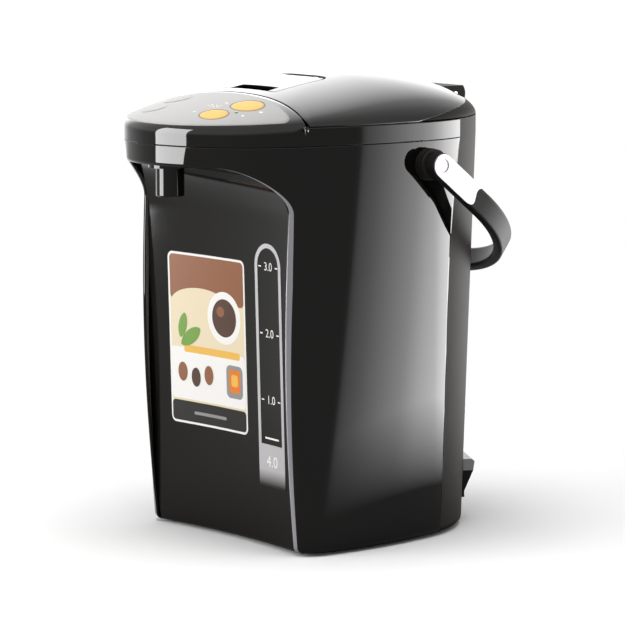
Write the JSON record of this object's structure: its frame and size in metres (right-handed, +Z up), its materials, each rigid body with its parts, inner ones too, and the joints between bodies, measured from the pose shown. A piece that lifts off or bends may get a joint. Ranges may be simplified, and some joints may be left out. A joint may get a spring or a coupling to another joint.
{
  "type": "electric thermo pot",
  "caption": "Free-standing electric hot water dispenser with a domed hinged lid, carrying handle, spout over a cup space, water gauge, keys and a swivel base.",
  "frame": {"origin": "point on the table under the swivel axis, in the middle of the rubber mat", "axes": "+Z up, -Y to the front (spout and keys), +X to the side of the water gauge"},
  "size_m": [0.2524, 0.3015, 0.3513],
  "materials": {
    "gloss_black": "polished black",
    "matt_black": "fine grained black",
    "light_grey": "satin light grey",
    "silver_paint": "satin silver paint",
    "yellow_key": "satin yellow",
    "green_lamp": "translucent green",
    "clear": "clear",
    "steel": "brushed",
    "brass": "plain",
    "rubber": "matt",
    "silicone": "translucent white",
    "board": "solder mask green",
    "white_plastic": "moulded white"
  },
  "bodies": {
    "base": {"swivel_base": "matt_black", "swivel_mat": "rubber", "swivel_retainer": "steel"},
    "pot": {"bottom_cover": "matt_black", "bottom_screws": "steel", "container_seal": "silicone", "control_panel": "silver_paint", "front_panel": "gloss_black", "gauge_frame": "silver_paint", "gauge_window": "clear", "head_housing": "gloss_black", "heat_shield": "steel", "heater_ring": "steel", "hinge_bracket": "matt_black", "inlet_hood": "light_grey", "inlet_housing": "matt_black", "inlet_pins": "brass", "inner_container": "steel", "key_board": "board", "key_switches": "matt_black", "level_tube": "clear", "main_board": "board", "mouth_ring": "steel", "outlet_hose": "silicone", "pivot_bosses": "matt_black", "power_lamp": "green_lamp", "pump_bracket": "white_plastic", "pump_cover": "white_plastic", "pump_housing": "white_plastic", "pump_motor": "steel", "rear_cover": "matt_black", "riser_hose": "silicone", "side_casing": "gloss_black", "spout_elbow": "white_plastic", "spout_nozzle": "matt_black", "support_bracket": "steel", "thermal_fuse": "white_plastic", "thermistor": "steel", "tip_valve": "white_plastic"},
    "lid": {"lid_cover": "gloss_black", "lid_rear_trims": "matt_black", "lid_base": "white_plastic", "lid_inner_plate": "steel", "lid_gasket": "silicone", "steam_valve": "white_plastic", "hinge_block": "matt_black", "hinge_pin": "steel", "latch_tray": "matt_black", "flap_pin": "steel"},
    "handle": {"handle": "matt_black", "handle_plates": "silver_paint"},
    "flap": {"release_flap": "gloss_black"},
    "latch": {"latch_bolt": "white_plastic"},
    "lever": {"lid_detach_lever": "matt_black"},
    "impeller": {"impeller": "white_plastic"},
    "rotor": {"motor_rotor": "steel"},
    "dispense_key": {"dispense_key": "yellow_key"},
    "boil_key": {"boil_key": "yellow_key"},
    "temperature_key": {"temperature_key": "silver_paint"},
    "lock_key": {"lock_key": "silver_paint"}
  },
  "joints": [
    {"name": "pot_swivel", "type": "hinge", "parent": "base", "child": "pot", "pos_m": [0, 0, 0.005], "axis": [0, 0, 1], "continuous": true},
    {"name": "lid_hinge", "type": "hinge", "parent": "pot", "child": "lid", "pos_m": [0, 0.102, 0.3285], "axis": [-1, 0, 0], "range_deg": [0, 80]},
    {"name": "flap_pivot", "type": "hinge", "parent": "lid", "child": "flap", "pos_m": [0, -0.037, 0.3408], "axis": [-1, 0, 0], "range_deg": [0, 25], "stiffness_Nm_per_rad": 0.05},
    {"name": "latch_slide", "type": "slide", "parent": "lid", "child": "latch", "axis": [0, 1, 0], "range_m": [0, 0.004]},
    {"name": "lever_press", "type": "slide", "parent": "lid", "child": "lever", "axis": [0, 0, -1], "range_m": [0, 0.0018], "stiffness_N_per_m": 200},
    {"name": "handle_pivot", "type": "hinge", "parent": "pot", "child": "handle", "pos_m": [0, 0, 0.286], "axis": [1, 0, 0], "range_deg": [0, 127.6]},
    {"name": "impeller_spin", "type": "hinge", "parent": "pot", "child": "impeller", "pos_m": [0.03, -0.045, 0.033], "axis": [0, 0, 1], "continuous": true},
    {"name": "rotor_spin", "type": "hinge", "parent": "pot", "child": "rotor", "pos_m": [0.03, -0.045, 0.025], "axis": [0, 0, 1], "continuous": true},
    {"name": "dispense_key_press", "type": "slide", "parent": "pot", "child": "dispense_key", "axis": [0, 0, -1], "range_m": [0, 0.0012], "stiffness_N_per_m": 400},
    {"name": "boil_key_press", "type": "slide", "parent": "pot", "child": "boil_key", "axis": [0, 0, -1], "range_m": [0, 0.0012], "stiffness_N_per_m": 400},
    {"name": "temperature_key_press", "type": "slide", "parent": "pot", "child": "temperature_key", "axis": [0, 0, -1], "range_m": [0, 0.0012], "stiffness_N_per_m": 400},
    {"name": "lock_key_press", "type": "slide", "parent": "pot", "child": "lock_key", "axis": [0, 0, -1], "range_m": [0, 0.0012], "stiffness_N_per_m": 400}
  ],
  "couplings": [
    {"joint": "latch_slide", "follows": "flap_pivot", "m_per_rad": 0.0091},
    {"joint": "rotor_spin", "follows": "impeller_spin", "ratio": 1}
  ]
}
